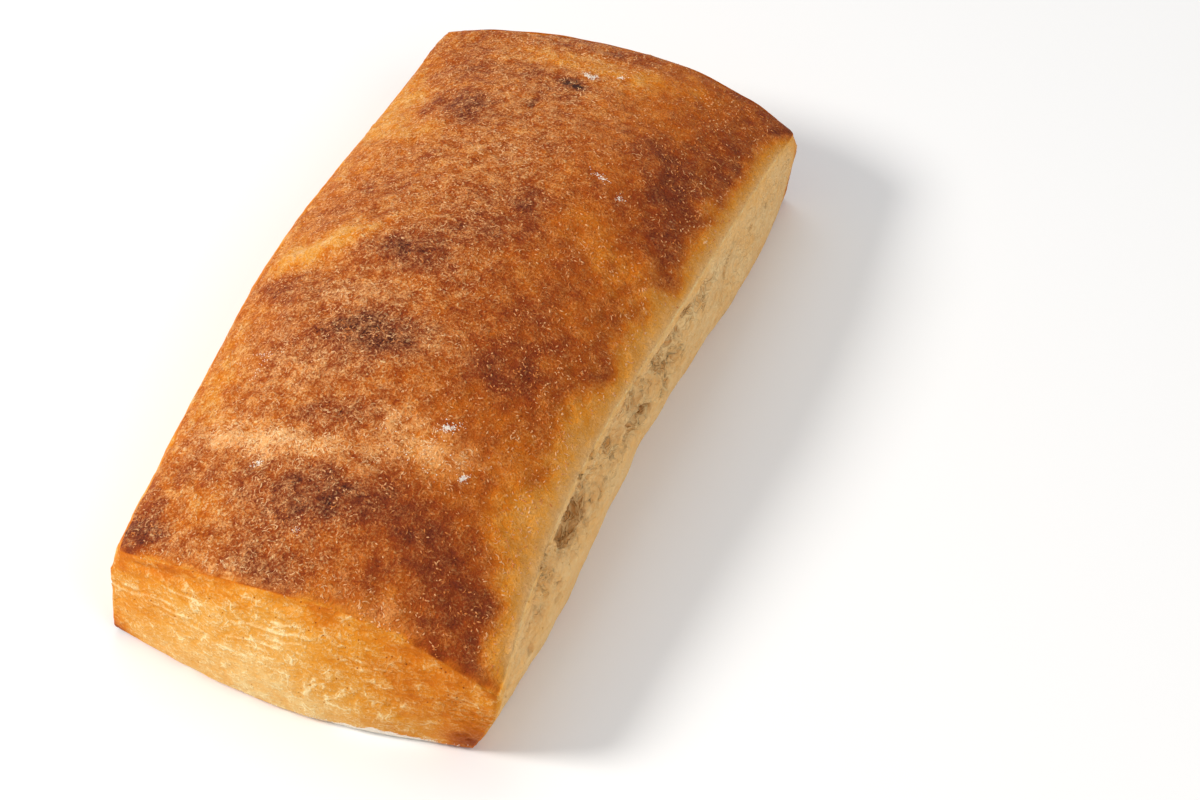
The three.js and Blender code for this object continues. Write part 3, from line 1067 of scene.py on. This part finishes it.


# Mottling, fine curling fibres of light crust, pale specks, and small pores darkened with painted shade
def crustMaterial():
    f = crustFinish
    material, spot = startMaterial("bakedCrust")
    toast, flour, plain, film = (spot.read(k) for k in ("toast", "flour", "plain", "film"))
    shown = 1 - plain
    mottle = spot.grain(*f["mottleGrain"]) - 0.5
    grit = spot.grain(*gritGrain) - 0.5
    swirl = spot.warp(spot.grain(0.5, 1, out=1), f["fiberSwirl"])
    worm = swirl.grain(0.55, 1.5, 0.5)
    gate = (grit * 3 + mottle * 2.5 + film * 0.4).step(-0.25, 0.4)
    fiber = sum(worm.line(*line) for line in f["fiberLines"]) * gate
    cell = swirl.cells(f["speckCells"])
    chance = cell.other("Color")
    speck = (1 - cell.step(0.16, 0.4)) * chance.step(0.58, 0.66)
    # Small pores, darkened with painted shade
    shadedPore = (1 - cell.step(0.08, 0.26)) * (1 - chance.step(0.28, 0.32))

    level = toast + (shadedPore * f["poreShade"] - mottle * f["mottle"] - grit * f["grit"]) * shown
    color = browned(level)
    # The film's pale veil, which also paints the light's sheen
    filmAndSheenVeil = film * (f["film"] + mottle * 2.2 + grit * 1.6) * (1.5 - level)
    color = filmAndSheenVeil.limit().mix(color, f["filmAndSheenColor"])
    light = fiber * f["fibers"] * (1 + film * 0.7) + speck * f["specks"] + grit * f["dusting"]
    # Pale fibres and specks dim and turn golden where the crust is plain; on its right half this is painted
    # shade
    light = (light * (1.3 - level) * shown).limit()
    color = light.mix(color, shown.mix(f["plainAndShadedFiberColor"], f["paleColor"]))
    dust = (flour + grit * 3 + mottle * 2 - 0.8).step(0.0, 0.4)
    color = (dust * f["flour"]).mix(color, flourColor)
    height = fiber * 0.12 + speck * 0.14 + grit * 0.8 + mottle * 1.1 - shadedPore * 0.25
    return finished(material, color, 0.56 + dust * 0.25 + grit * 0.2, height, f["bump"])


# Skin with thin pale layers, veins and pits; torn crumb with wrinkles and pinholes; pits, pinholes and
# hollows are darkened with painted shade
def sideMaterial():
    f = sideFinish
    material, spot = startMaterial("stretchedSide")
    toast, flour, torn, layers, hollow = (
        spot.read(k) for k in ("toast", "flour", "torn", "layers", "hollow"))
    skin = 1 - torn
    grit = spot.grain(*gritGrain) - 0.5
    cloud = spot.grain(*f["cloudGrain"]) - 0.5
    bent = spot.grain(0.16, 2, out=1)
    cell = spot.cells(f["pitCells"])
    # Pits and pinholes: small holes darkened with painted shade
    shadedPit = (1 - cell.step(0.06, 0.18)) * cell.other("Color").step(0.6, 0.64)

    streak = spot.stretch((0.3, 0.3, 1)).grain(*f["streakGrain"]) - 0.5
    vein = 1 - spot.warp(bent, 9).cells(f["veinCells"], "DISTANCE_TO_EDGE").step(0.0, 0.055)
    vein = vein * cloud.step(-0.02, 0.12)
    worm = spot.warp(bent, 5).grain(0.6, 1.5, 0.5)
    thread = sum(worm.line(*line) for line in f["threadLines"]) * (grit * 3 + cloud * 2).step(-0.3, 0.3)
    skinLevel = shadedPit * f["pitShade"] - streak * f["streaks"] - cloud * f["clouds"] - grit * f["grit"]
    skinHeight = streak * 0.5 + vein * 0.12 + thread * 0.08 - shadedPit * 0.3 + cloud * 0.8 + grit * 0.3

    wrinkle = spot.stretch((1, 0.4, 1)).grain(*f["wrinkleGrain"]) - 0.5
    hole = spot.warp(bent, 3).stretch((1, 0.5, 1)).cells(f["holeCells"])
    # Painted shade in the hollows, darker in some of the crumb's cells
    caveShade = (1 - hole.step(0.16, 0.42)) * hole.other("Color").step(0.35, 0.75)
    deep = (hollow * (0.75 + caveShade * 0.6 + wrinkle * 1.6) * torn).limit()
    wall = spot.warp(bent, 6).stretch((1, 0.45, 1)).cells(f["wallCells"], "DISTANCE_TO_EDGE")
    wall = (1 - wall.step(0.0, 0.16)) * hollow.step(0.1, 0.5) * torn
    string = spot.warp(bent, 4).stretch((1, 0.5, 1)).grain(0.5, 1.5, 0.5).line(0.05)
    string = (string * (0.3 + hollow * 0.7) * torn + wall).limit()
    tornLevel = wrinkle * f["wrinkles"] + grit * f["grit"] + shadedPit * f["pinholeShade"]
    tornHeight = wrinkle * 1.2 - shadedPit * 0.4 - deep * 0.8 + string * 0.5

    level = toast + skin * skinLevel + torn * tornLevel
    color = (deep * f["depth"]).mix(browned(level), f["hollowShadeColor"])
    color = (string * f["strings"]).mix(color, f["paleColor"])
    color = skin.mix(color, f["skinTint"], "MULTIPLY")
    light = vein * f["veins"] + layers * (f["layers"] + streak * 2) + thread * f["threads"]
    haze = (grit * 1.5 + cloud * 0.35 + streak * 0.9) * f["haze"] * (1 - level)
    light = (light * (1.5 - level * 3).limit() + haze) * skin
    color = light.limit().mix(color, f["paleColor"])
    dust = dusted(flour, grit)
    color = (dust * f["flour"]).mix(color, flourColor)
    height = skin * skinHeight + torn * tornHeight
    return finished(material, color, 0.6 + torn * 0.15 + dust * 0.15 + grit * 0.2, height, f["bump"])


def baseMaterial():
    f = baseFinish
    material, spot = startMaterial("bakedBase")
    mottle = spot.grain(*f["mottleGrain"]) - 0.5
    grit = spot.grain(*gritGrain) - 0.5
    color = browned(spot.read("toast") + mottle * f["mottle"] + grit * f["grit"])
    dust = dusted(spot.read("flour"), grit)
    color = (dust * sideFinish["flour"]).mix(color, flourColor)
    return finished(material, color, 0.66 + dust * 0.2 + grit * 0.2, grit * 0.5 + mottle * 0.6, f["bump"])


def makeLoaf(body):
    mesh = bpy.data.meshes.new("ciabattaLoaf")
    mesh.from_pydata((body["points"] * mm).tolist(), [], body["faces"])
    mesh.shade_smooth()
    for name, values in body["looks"].items():
        mesh.attributes.new(name, "FLOAT", "POINT").data.foreach_set("value", values)
    for material in (crustMaterial(), sideMaterial(), baseMaterial()):
        mesh.materials.append(material)
    mesh.polygons.foreach_set("material_index", faceFinishes(body))
    return addObject("ciabattaLoaf", mesh)


loaf = makeLoaf(body)
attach(loaf, "root")
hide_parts("ciabatta_loaf")
print("loaf made")


# Pale flecks, bent threads and flour grains, scattered over the loaf by the trees below

# A mask says where they lie and how densely; the largest number on a square metre, sizes in mm
scatterSettings = {
    "crustFlecks": {"shape": "grain", "mask": "fleckMask", "perArea": 170000, "small": (0.2, 0.13, 0.1),
                    "large": (0.75, 0.28, 0.18), "seed": 3},
    "crustCurls": {"shape": "curl", "mask": "curlMask", "perArea": 330000, "small": (0.45, 0.45, 0.35),
                   "large": (1.25, 1.15, 0.7), "seed": 6},
    "flourGrains": {"shape": "grain", "mask": "grainMask", "perArea": 3200000, "small": (0.07, 0.07, 0.05),
                    "large": (0.26, 0.22, 0.16), "seed": 8},
}

# A curl is a short bent thread, in units of its scale
curlShape = {
    "bend": 1.0,
    "sweep": 1.9,
    "thick": 0.13,
    "steps": 6,
    "sides": 4,
}

treeInputs = {
    "Loaf": "Geometry",
    "Mask": "String",
    "Per area": "Float",
    "Smallest": "Vector",
    "Largest": "Vector",
    "Seed": "Int",
    "Finish": "Material",
}

fleckColors = ((206, 122, 60), (250, 212, 160))
grainColors = ((250, 240, 222), (255, 252, 242))
greatestTilt = 0.2


def grainShape(start):
    return start.make("GeometryNodeMeshIcoSphere", {}, {"Radius": 1.0, "Subdivisions": 1})


def bentThread(start):
    c = curlShape
    arc = start.make("GeometryNodeCurveArc", {"mode": "RADIUS"},
                     {"Resolution": c["steps"], "Radius": c["bend"], "Sweep Angle": c["sweep"]}, "Curve")
    ring = start.make("GeometryNodeCurvePrimitiveCircle", {"mode": "RADIUS"},
                      {"Resolution": c["sides"], "Radius": c["thick"]}, "Curve")
    tube = start.make("GeometryNodeCurveToMesh", {},
                      {"Curve": arc, "Profile Curve": ring, "Fill Caps": True})
    toMiddle = (-c["bend"] * math.cos(c["sweep"] / 2), -c["bend"] * math.sin(c["sweep"] / 2), 0)
    return start.make("GeometryNodeTransform", {}, {"Geometry": tube, "Translation": toMiddle})


def randomVector(low, high, seed):
    sockets = {0: low, 1: high, "Seed": seed}
    return seed.make("FunctionNodeRandomValue", {"data_type": "FLOAT_VECTOR"}, sockets)


def scatterTree(name, shape):
    group = bpy.data.node_groups.new(name, "GeometryNodeTree")
    face = group.interface
    inputs = {}
    for label, kind in treeInputs.items():
        inputs[label] = face.new_socket(label, in_out="INPUT", socket_type="NodeSocket" + kind).identifier
    face.new_socket("Pieces", in_out="OUTPUT", socket_type="NodeSocketGeometry")
    start = Wire(group)
    given = start.make("NodeGroupInput", out="Loaf")
    seed = given.other("Seed")
    mask = start.make("GeometryNodeInputNamedAttribute", {"data_type": "FLOAT"},
                      {"Name": given.other("Mask")})
    density = mask * given.other("Per area")
    spots = start.make("GeometryNodeDistributePointsOnFaces", {},
                       {"Mesh": given, "Density": density, "Seed": seed}, "Points")
    turn = randomVector((0, 0, 0), (greatestTilt, greatestTilt, math.tau), seed)
    rotation = start.make("FunctionNodeRotateRotation", {"rotation_space": "LOCAL"},
                          {"Rotation": spots.other("Rotation"), "Rotate By": turn})
    size = randomVector(given.other("Smallest"), given.other("Largest"), seed + 1)
    grain = bentThread(start) if shape == "curl" else grainShape(start)
    placed = start.make("GeometryNodeInstanceOnPoints", {},
                        {"Points": spots, "Instance": grain, "Rotation": rotation, "Scale": size})
    real = start.make("GeometryNodeRealizeInstances", {}, {"Geometry": placed})
    smooth = start.make("GeometryNodeSetShadeSmooth", {}, {"Geometry": real})
    done = start.make("GeometryNodeSetMaterial", {}, {"Geometry": smooth, "Material": given.other("Finish")})
    group.links.new(done.socket, group.nodes.new("NodeGroupOutput").inputs["Pieces"])
    return group, inputs


def scatter(name, material):
    s = scatterSettings[name]
    group, inputs = scatterTree(name + "Tree", s["shape"])
    holder = addObject(name + "Source", loaf.data)
    modifier = holder.modifiers.new("scatter", "NODES")
    modifier.node_group = group
    size = {key: [part * mm for part in s[key]] for key in ("small", "large")}
    values = {"Mask": s["mask"], "Per area": float(s["perArea"]), "Smallest": size["small"],
              "Largest": size["large"], "Seed": s["seed"], "Finish": material}
    for label, value in values.items():
        modifier[inputs[label]] = value
    bpy.context.view_layer.update()
    evaluated = holder.evaluated_get(bpy.context.evaluated_depsgraph_get())
    mesh = bpy.data.meshes.new_from_object(evaluated)
    mesh.name = name
    bpy.data.objects.remove(holder)
    piece = addObject(name, mesh)
    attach(piece, "root")
    print(name + ":", len(mesh.polygons), "faces")


# Flecks take the browning of the crust below them, brighten with its film and painted sheen, and dim where
# it is plain or has painted shade
def fleckMaterial():
    material, spot = startMaterial("paleFlecks")
    toast, film, plain = (spot.read(k) for k in ("toast", "film", "plain"))
    shade = spot.grain(0.35, 3, 0.7).step(0.36, 0.64)
    shade = (shade * 0.75 + film * 0.7 - toast * 0.4 - plain * 0.35 + 0.15).limit()
    color = shade.mix(*fleckColors)
    return finished(material, color, 0.6 + shade * 0.1, spot.grain(2.5, 2), 0.3)


def flourMaterial():
    material, spot = startMaterial("looseFlour")
    shade = spot.grain(0.8, 3, 0.7).step(0.3, 0.7)
    color = shade.mix(*grainColors)
    return finished(material, color, 0.85 + shade * 0.1, spot.grain(4, 2), 0.3)


paleFinish = fleckMaterial()
scatter("crustFlecks", paleFinish)
scatter("crustCurls", paleFinish)
scatter("flourGrains", flourMaterial())
